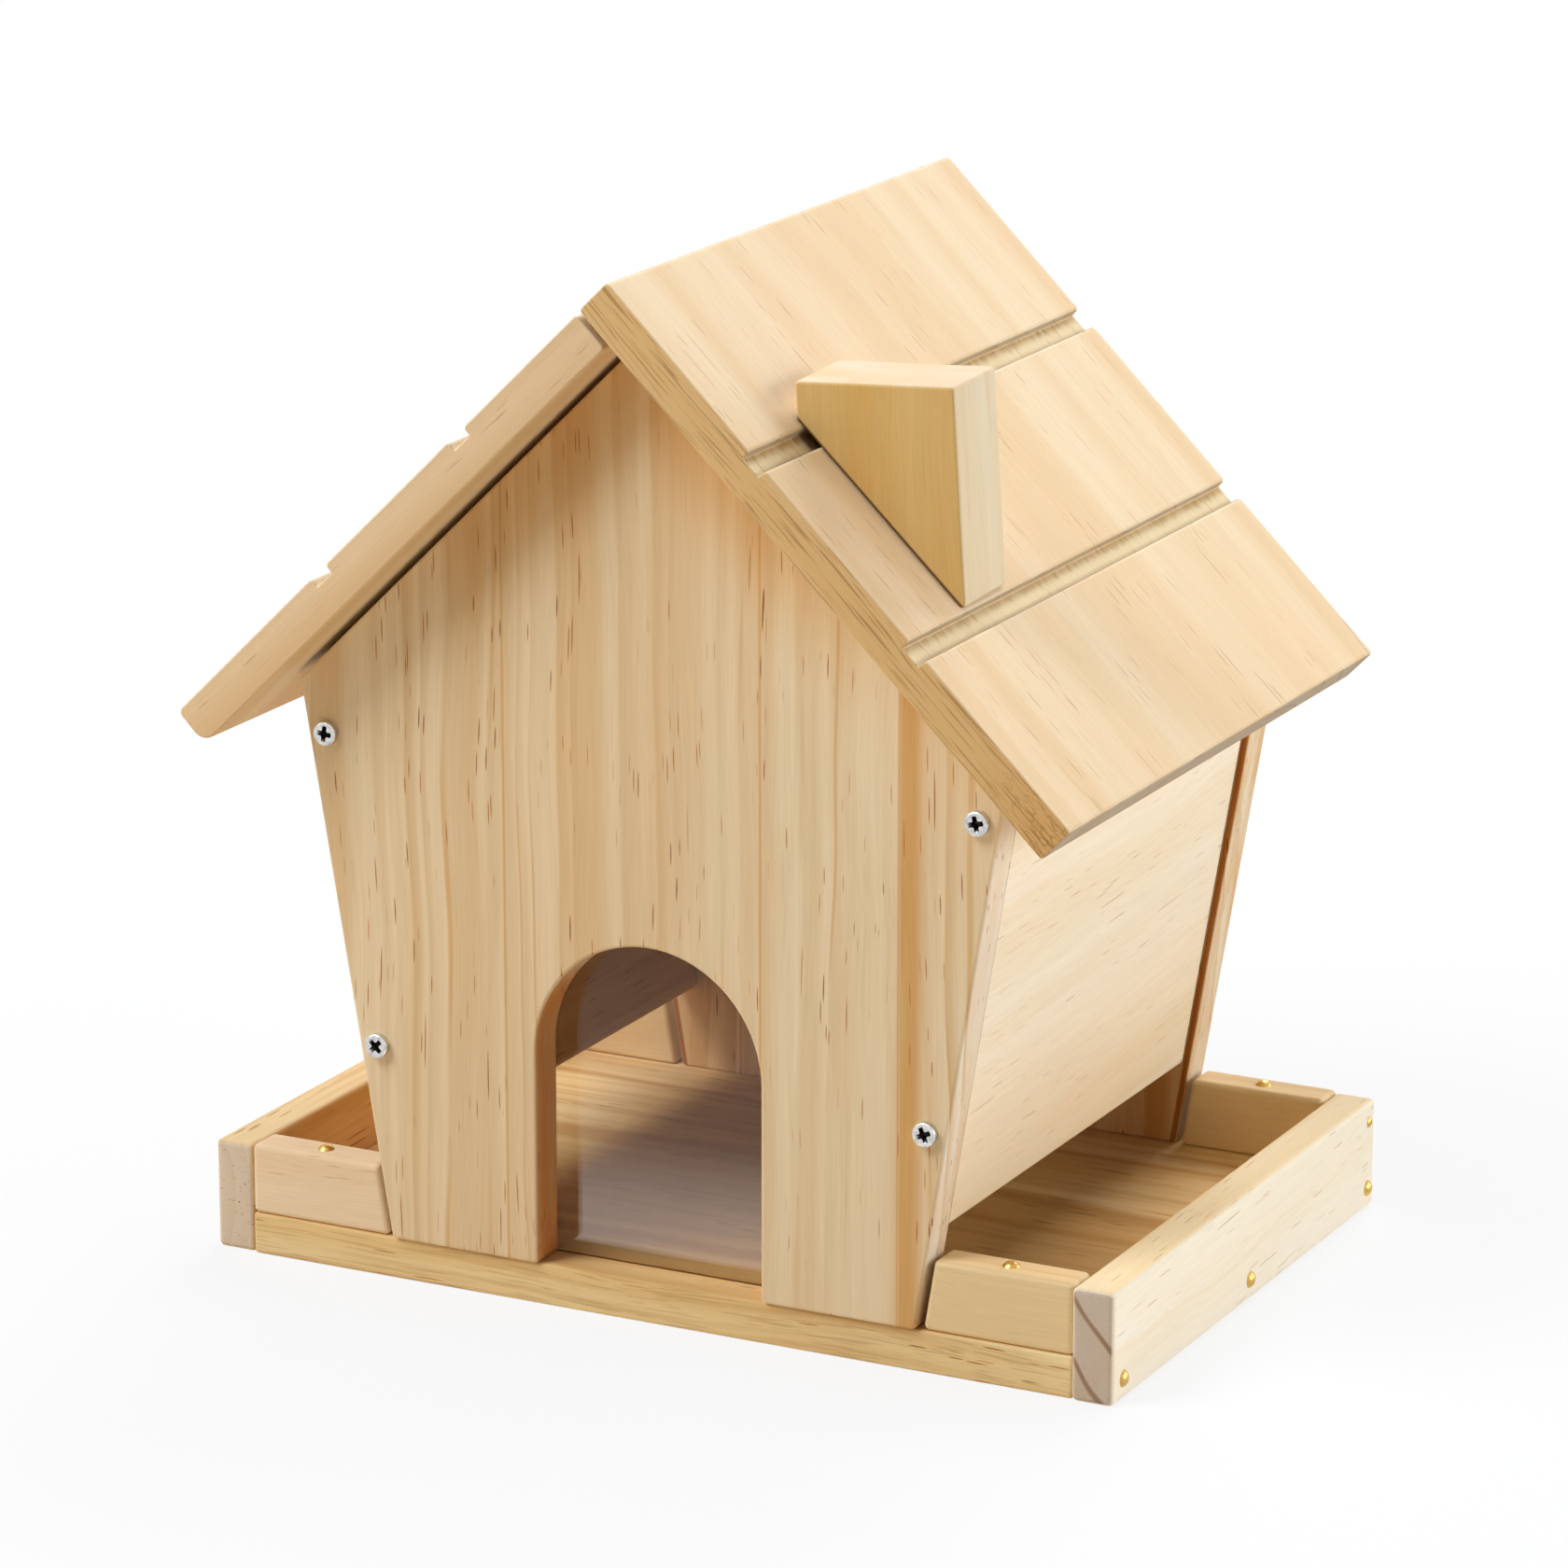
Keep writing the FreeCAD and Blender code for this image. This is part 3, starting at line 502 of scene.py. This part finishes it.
def end_joint_shadows(board, depth):
    """Painted shadow line across both ends of a hopper wall, where it meets the gables."""
    joint_shadow_width = 0.0016
    joint_shadow_core = 0.0008
    low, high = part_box(board.node)
    half = abs(board.grain.dot(high - low)) / 2
    along = size_of(board.tree, axis_of(board.tree, board.place, "Z"))
    paint_joint_shadow(board, ramp(board.tree, along, half - joint_shadow_width, half - joint_shadow_core, 0.0, depth))


def glue_staves(board, joints):
    """Staves of a gable, from the places of their joints across it."""
    given = {f"Joint {index}": joint for index, joint in enumerate(joints, 1)}
    given["Position"] = board.spot
    given["Seed"] = board.figure.inputs["Seed"].default_value
    staves = add(board.tree, "Group", given, node_tree=glued_staves)
    fill(board.tree, board.figure, {"Seed": staves.outputs["Seed"]})
    fill(board.tree, board.colour, {"Line": staves.outputs["Line"], "Band": staves.outputs["Band"]})


def shade_jamb(board, tint, edge):
    """Painted shade on the sawn faces of the doorway, deeper than the tint of the gable's outer edges."""
    aside = size_of(board.tree, axis_of(board.tree, board.spot, "X"))
    outer = ramp(board.tree, aside, doorway_side, doorway_clear)
    fill(board.tree, board.colour, {"Edge": blend(board.tree, outer, tint, edge)})


def cut_grooves(board, grooves, end):
    """Painted light on the floors of a roof board's grooves, and painted shade with ragged fibres under their
    upper lips, from their places down the slope.
    """
    shade_and_fibre_share = 0.65
    groove_wall = (0.95, 0.86, 0.62, 1.0)
    given = {f"Groove {index}": groove for index, groove in enumerate(grooves, 1)}
    given["Position"] = board.place
    given["Normal"] = board.facing
    cut = add(board.tree, "Group", given, node_tree=torn_and_shaded_grooves)
    fill(board.tree, board.colour, {
        "Lip Shade And Fibres": times(board.tree, cut.outputs["Lip Shade And Fibres"], shade_and_fibre_share),
        "End": blend(board.tree, cut.outputs["Inside"], end, groove_wall),
        "Inside": cut.outputs["Inside"],
    })


def chew_edge(board, start, end):
    """Rough fibres on a sawn edge, growing from one place along the grain to another."""
    along = axis_of(board.tree, board.place, "Z")
    fill(board.tree, board.colour, {"Chew": ramp(board.tree, along, start, end)})


def gable_joint(board):
    """Painted shadow line on the gable's outer edge, where the hopper wall meets it."""
    line_width = 0.0013
    line_core = 0.0007
    outer_edges = 0.05
    tree = board.tree
    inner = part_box(board.node)[1].y
    line = ramp(tree, axis_of(tree, board.spot, "Y"), inner - line_width, inner - line_core, 0.0, 0.75)
    aside = size_of(tree, axis_of(tree, board.spot, "X"))
    outside = ramp(tree, aside, doorway_clear, outer_edges)
    return times(tree, line, looks_along(tree, board.facing, "X"), outside)


def chimney_foot(board):
    """Painted shadow line where the chimney meets the roof."""
    line_core = 0.0005
    line_width = 0.0012
    foot = min(fixed_out.dot(corner.co) for corner in nodes[board.node].data.vertices)
    rise = add(board.tree, "VectorMath", {0: board.spot, 1: fixed_out}, operation="DOT_PRODUCT")
    return ramp(board.tree, rise.outputs["Value"], foot + line_core, foot + line_width, 0.9, 0.0)


def under_roof(board):
    """Painted shade high on the gable, close under the roof boards, and less towards the eaves."""
    shade_start = 0.225
    shade_full = 0.262
    middle = 0.03
    eaves = 0.085
    tree = board.tree
    aside = size_of(tree, axis_of(tree, board.spot, "X"))
    drop = calc(tree, "MULTIPLY_ADD", aside, math.tan(roof_slope), axis_of(tree, board.spot, "Z"))
    return times(tree, ramp(tree, drop, shade_start, shade_full), ramp(tree, aside, middle, eaves, 1.0, 0.0))


def inside_hopper(board):
    """Painted shade on the tray floor between the hopper walls and the gables."""
    wall_shade = 0.06
    wall_foot = 0.09
    gable_shade = 0.079
    gable_foot = 0.084
    tree = board.tree
    across = size_of(tree, axis_of(tree, board.spot, "X"))
    across = ramp(tree, across, wall_shade, wall_foot, 1.0, 0.0)
    along = size_of(tree, axis_of(tree, board.spot, "Y"))
    along = ramp(tree, along, gable_shade, gable_foot, 1.0, 0.0)
    return times(tree, across, along, ramp(tree, axis_of(tree, board.facing, "Y"), turned, square_on))


def above_tray(board):
    """The foot of a hopper wall, where the warm light that the tray throws on it is painted."""
    lit_height = 0.05
    unlit_height = 0.1
    return ramp(board.tree, axis_of(board.tree, board.spot, "Z"), lit_height, unlit_height, 1.0, 0.0)


def beyond_wall(board):
    """Painted shade on the back gable's inner face, in the corner outside the hopper walls."""
    fade_before = 0.0004
    fade_past = 0.0002
    tree = board.tree
    wall = max(right_wall_out.dot(corner.co) for corner in nodes["right_hopper_wall"].data.vertices)
    across = times(tree, size_of(tree, axis_of(tree, board.spot, "X")), right_wall_out.x)
    past = calc(tree, "MULTIPLY_ADD", axis_of(tree, board.spot, "Z"), right_wall_out.z, across)
    inner = ramp(tree, axis_of(tree, board.facing, "Y"), -square_on, -turned, 1.0, 0.0)
    return times(tree, ramp(tree, past, wall - fade_before, wall + fade_past), inner)


def dress_tray():
    base = pine(
        "base_board", right, upward, pith=(0.03, -0.09), seed=3.0, tones=tawny, soft=0.35, rings=1.0,
        streaks=0.9, edge=(1.12, 1.25, 1.38, 1.0), saw=0.3,
    )
    # Painted shade on the tray floor inside the hopper
    shade(base, inside_hopper(base), (0.98, 0.82, 0.62, 1.0))
    pine(
        "left_tray_rail", deep, right, pith=(0.02, -0.05), seed=11.0, tones=honeyed, ring_width=0.006,
        rings=0.4, streaks=0.2, edge=(1.03, 1.16, 1.3, 1.0), end=(0.88, 1.06, 1.62, 1.0),
    )
    pine(
        "right_tray_rail", deep, right, pith=(-0.04, -0.045), seed=12.0, tones=bone, ring_width=0.012,
        rings=0.6, streaks=0.3, veins=0.3, dashes=0.4, edge=(0.98, 0.83, 0.6, 1.0),
        end=(0.68, 0.61, 0.58, 1.0), growth=0.7,
    )
    pine(
        "front_left_tray_block", right, -deep, pith=(0.02, -0.06), seed=21.0, tones=biscuit, veins=0.4,
        dashes=0.3, edge=(1.03, 1.02, 1.02, 1.0),
    )
    other_blocks = ("front_right_tray_block", "back_left_tray_block", "back_right_tray_block")
    for seed, block in enumerate(other_blocks, 22):
        pine(
            block, right, -deep, pith=(0.02, -0.06), seed=seed, tones=straw, veins=0.3, dashes=0.15,
            edge=(0.92, 0.84, 0.78, 1.0),
        )


def dress_gables():
    front_joints = (-0.043, 0.034, 0.0745)
    back_joints = (-0.06, 0.012, 0.07)
    outer_edge = (0.9, 0.98, 1.2, 1.0)
    front = pine(
        "front_panel", upward, -deep, pith=(-0.16, -0.09), seed=31.0, tones=striped, rings=0.95,
        streaks=0.65, veins=0.4, dashes=0.8, edge=outer_edge,
    )
    glue_staves(front, front_joints)
    # Painted shade on the doorway's sawn faces
    shade_jamb(front, (0.86, 0.46, 0.22, 1.0), outer_edge)
    # Painted shadow line where the hopper wall meets the gable
    paint_joint_shadow(front, gable_joint(front))
    # Painted shade high on the gable, under the roof boards
    shade(front, under_roof(front), (0.87, 0.71, 0.51, 1.0))
    back = pine(
        "back_panel", upward, deep, pith=(-0.1, -0.08), seed=37.0, tones=honeyed, edge=(0.9, 1.1, 1.6, 1.0),
    )
    glue_staves(back, back_joints)
    # Painted deep shade in the corner beside the right hopper wall
    shade(back, beyond_wall(back), (0.5, 0.26, 0.11, 1.0))


def dress_hopper_walls():
    joint_shadow_depth = 0.7
    left_wall = pine(
        "left_hopper_wall", deep, left_wall_out, pith=(0.03, -0.08), seed=41.0, tones=honeyed, dashes=0.5,
    )
    end_joint_shadows(left_wall, joint_shadow_depth)
    right_wall = pine(
        "right_hopper_wall", deep, right_wall_out, pith=(0.03, -0.08), seed=43.0, tones=ivory, rings=0.5,
        streaks=0.25, veins=0.35, dashes=0.4,
    )
    end_joint_shadows(right_wall, joint_shadow_depth)
    # Painted warm light from the tray on the foot of the right wall
    shade(right_wall, above_tray(right_wall), (0.99, 0.93, 0.84, 1.0))


def dress_fixed_roof():
    """Right roof board, whose two grooves part it into three equal bands."""
    pitch = (fixed_roof_length + groove_width) / 3
    first = pitch - groove_width / 2 - fixed_roof_length / 2
    ridge = -0.09
    below_ridge = -0.08
    chewed_start = 0.06
    chewed_full = 0.09
    # The eave's end grain is darkened past its own colour to paint the shade that it lies in
    shaded_eave_end = (0.5, 0.55, 0.65, 1.0)
    ridge_end = (0.88, 0.82, 0.72, 1.0)
    fixed = pine(
        "fixed_roof_board", fixed_down, fixed_out, pith=(0.02, -0.07), seed=51.0, tones=cream,
        ring_width=0.011, soft=0.45, veins=0.2, dashes=0.45, edge=(0.95, 0.83, 0.6, 1.0), saw=0.55,
        end=shaded_eave_end, growth=0.3,
    )
    lower = ramp(fixed.tree, axis_of(fixed.tree, fixed.place, "Z"), ridge, below_ridge)
    cut_grooves(fixed, (first, first + pitch), blend(fixed.tree, lower, ridge_end, shaded_eave_end))
    chew_edge(fixed, chewed_start, chewed_full)
    pine("roof_dowels", fixed_out, deep, pith=(0.0, -0.03), seed=71.0)


def dress_lid():
    """Left roof board, whose bands are measured up from the eave."""
    second = lid_length / 2 - lid_eave_band - groove_width / 2 + lid_groove_shift
    first = second - lid_middle_band - groove_width
    lid = pine(
        "lid_roof_board", lid_down, lid_out, pith=(0.02, -0.07), seed=53.0, tones=wheat, ring_width=0.011,
        soft=0.45, veins=0.3, dashes=0.45, edge=(1.0, 0.9, 0.84, 1.0), saw=0.1,
    )
    cut_grooves(lid, (first, second), grey_end)


def dress_chimney():
    chimney = pine(
        "chimney", upward, -deep, pith=(0.02, -0.06), seed=61.0, tones=amber, ring_width=0.02, rings=0.4,
        streaks=0.4, veins=0.15, dashes=0.2, edge=(1.0, 1.24, 2.2, 1.0), end=(1.05, 1.2, 2.1, 1.0),
    )
    # Painted shadow line at the chimney's foot
    paint_joint_shadow(chimney, chimney_foot(chimney))


def metal(name, tone, dull, hollow_shade, rough):
    """Plated or polished metal with fine scuffs, a mottled tone and painted shade in its hollows."""
    made, tree, shader = new_material(name)
    spot = add(tree, "TexCoord").outputs["Object"]
    cloud = add(tree, "TexNoise", {"Vector": spot, "Scale": 900.0, "Detail": 3.0}).outputs["Fac"]
    scuff = add(tree, "TexNoise", {"Vector": spot, "Scale": 3500.0, "Detail": 2.0}).outputs["Fac"]
    hollow = 0.003
    open_air = add(tree, "AmbientOcclusion", {"Distance": hollow}, only_local=True, samples=8).outputs["AO"]
    bright = blend(tree, ramp(tree, cloud, 0.35, 0.7), tone, dull)
    bump = add(tree, "Bump", {"Strength": 0.25, "Distance": 0.00005, "Height": scuff})
    fill(tree, shader, {
        "Base Color": blend(tree, ramp(tree, open_air, 0.66, 0.95), hollow_shade, bright),
        "Roughness": ramp(tree, scuff, 0.3, 0.7, rough * 0.75, rough * 1.35),
        "Normal": bump.outputs[0],
        "Metallic": 1.0,
    })
    return made


def dress_metal():
    # The last colour of each metal is the painted shade in its hollows
    brass = metal("polished_brass", paint(206, 168, 94), paint(196, 157, 83), paint(90, 58, 20), 0.28)
    zinc = metal("bright_zinc", paint(226, 226, 224), paint(196, 197, 198), paint(22, 20, 18), 0.3)
    finishes = {"brass": brass, "zinc_plated_steel": zinc}
    for piece in frame["record"]["subparts"]:
        if piece["material_slot"] in finishes:
            dress(piece["node"], finishes[piece["material_slot"]])


def dress_pane():
    """Clear sheet with a faint film of dust, which lets some lamp light through."""
    made, tree, shader = new_material("clear_sheet")
    spot = add(tree, "TexCoord").outputs["Object"]
    smear = add(tree, "TexNoise", {"Vector": spot, "Scale": 60.0, "Detail": 4.0}).outputs["Fac"]
    fill(tree, shader, {
        "Base Color": blend(tree, smear, paint(250, 252, 252), paint(240, 244, 246)),
        "Roughness": ramp(tree, smear, 0.3, 0.8, 0.002, 0.014),
        "Transmission Weight": 1.0,
        "IOR": 1.6,
        "Specular IOR Level": 0.5,
    })
    warm_shadow = add(tree, "BsdfTransparent", {"Color": (0.35, 0.27, 0.18, 1.0)})
    path = add(tree, "LightPath")
    sheet = {0: path.outputs["Is Shadow Ray"], 1: shader.outputs[0], 2: warm_shadow.outputs[0]}
    sheet = add(tree, "MixShader", sheet)
    tree.links.new(sheet.outputs[0], tree.nodes["Material Output"].inputs["Surface"])
    dress("window_pane", made)


def by_mirror(tree, path):
    """One where a ray comes by way of metal or glass."""
    return calc(tree, "MAXIMUM", path.outputs["Is Glossy Ray"], path.outputs["Is Transmission Ray"])


def studio_floor():
    """Pale floor, white to the camera, with the object's soft shadow and a glow in front for the pane."""
    bpy.ops.mesh.primitive_plane_add(size=floor_size)
    floor = bpy.context.object
    floor.name = "studio_floor"
    made, tree, shader = new_material("pale_floor")
    path = add(tree, "LightPath")
    mirror = by_mirror(tree, path)
    spot = add(tree, "TexCoord").outputs["Object"]
    away = add(tree, "VectorMath", {0: spot}, operation="LENGTH").outputs["Value"]

    # Light that comes back off the floor is warm, as it is under the feeder
    tint = blend(tree, path.outputs["Is Diffuse Ray"], (0.82, 0.82, 0.82, 1.0), (0.8, 0.69, 0.55, 1.0))
    fill(tree, shader, {"Base Color": tint, "Roughness": 0.9})

    # The pane mirrors a lane of the floor, from a bright pool close by to a duller stretch beyond
    lane_slant = -0.508
    lane_offset = 0.04
    lane_half_width = 0.04
    lane_blur = 0.07
    lane_tint = (1.0, 0.84, 0.76, 1.0)
    pool = ramp(tree, away, 0.14, 0.23, low=1.9, high=0.5)
    pool = times(tree, pool, ramp(tree, away, 0.25, 0.42, low=1.0, high=0.6))
    across = calc(tree, "MULTIPLY_ADD", axis_of(tree, spot, "Y"), lane_slant, axis_of(tree, spot, "X"))
    across = size_of(tree, calc(tree, "SUBTRACT", across, lane_offset))
    aside = ramp(tree, across, lane_half_width, lane_blur)
    pool = between(tree, aside, pool, 1.0)
    glow = blend(tree, calc(tree, "SUBTRACT", mirror, aside), plain, lane_tint)
    white = add(tree, "Emission", {"Color": glow, "Strength": between(tree, mirror, 1.0, pool)})

    # White fades in away from the object, so that its shadow stays
    shadow_start = 0.12
    shadow_end = 0.5
    seen = times(tree, path.outputs["Is Camera Ray"], ramp(tree, away, shadow_start, shadow_end, 0.8, 1.0))
    both = {0: calc(tree, "MAXIMUM", seen, mirror), 1: shader.outputs[0], 2: white.outputs[0]}
    both = add(tree, "MixShader", both)
    tree.links.new(both.outputs[0], tree.nodes["Material Output"].inputs["Surface"])
    floor.data.materials.append(made)


def studio_world():
    """Surround that is white where the camera, metal or glass sees it, and gives no light of its own."""
    world = bpy.data.worlds.new("studio")
    bpy.context.scene.world = world
    world.use_nodes = True
    tree = world.node_tree
    path = add(tree, "LightPath")
    seen = calc(tree, "MAXIMUM", path.outputs["Is Camera Ray"], by_mirror(tree, path))
    fill(tree, tree.nodes["Background"], {"Color": (1.0, 0.99, 0.97, 1.0), "Strength": seen})


def direction(azimuth, elevation):
    """Unit vector towards a point seen from the object: azimuth 0 is in front, 90 to the right."""
    flat = math.cos(elevation)
    return Vector((math.sin(azimuth) * flat, -math.cos(azimuth) * flat, math.sin(elevation)))


def lamp(name, azimuth, elevation, watts, colour=daylight):
    """Round soft box that shines at the object from a direction in degrees."""
    data = bpy.data.lights.new(name, "AREA")
    data.color = colour
    data.shape = "DISK"
    data.size = lamp_size
    data.energy = watts
    made = bpy.data.objects.new(name, data)
    bpy.context.scene.collection.objects.link(made)
    away = direction(math.radians(azimuth), math.radians(elevation))
    made.location = (cad_low + cad_high) / 2 + away * lamp_distance
    made.rotation_euler = away.to_track_quat("Z", "Y").to_euler()


def studio_lamps():
    lamp("side_lamp", azimuth=98, elevation=12, watts=23.0)
    lamp("rear_side_lamp", azimuth=135, elevation=14, watts=13.0)
    lamp("back_lamp", azimuth=180, elevation=42, watts=33.0)
    lamp("front_lamp", azimuth=315, elevation=48, watts=41.0)
    lamp("top_lamp", azimuth=0, elevation=88, watts=10.0)
    lamp("low_fill_lamp", azimuth=320, elevation=10, watts=5.5, colour=warm_light)


def studio_camera():
    data = bpy.data.cameras.new("camera")
    data.lens = camera_lens
    made = bpy.data.objects.new("camera", data)
    bpy.context.scene.collection.objects.link(made)
    made.location = camera_target + direction(camera_azimuth, camera_elevation) * camera_distance
    made.rotation_euler = (math.pi / 2 - camera_elevation, 0, camera_azimuth)
    bpy.context.scene.camera = made


dress_tray()
dress_gables()
dress_hopper_walls()
dress_fixed_roof()
dress_lid()
dress_chimney()
dress_metal()
dress_pane()
studio_floor()
studio_world()
studio_lamps()
studio_camera()
bpy.context.scene.view_settings.view_transform = "Standard"
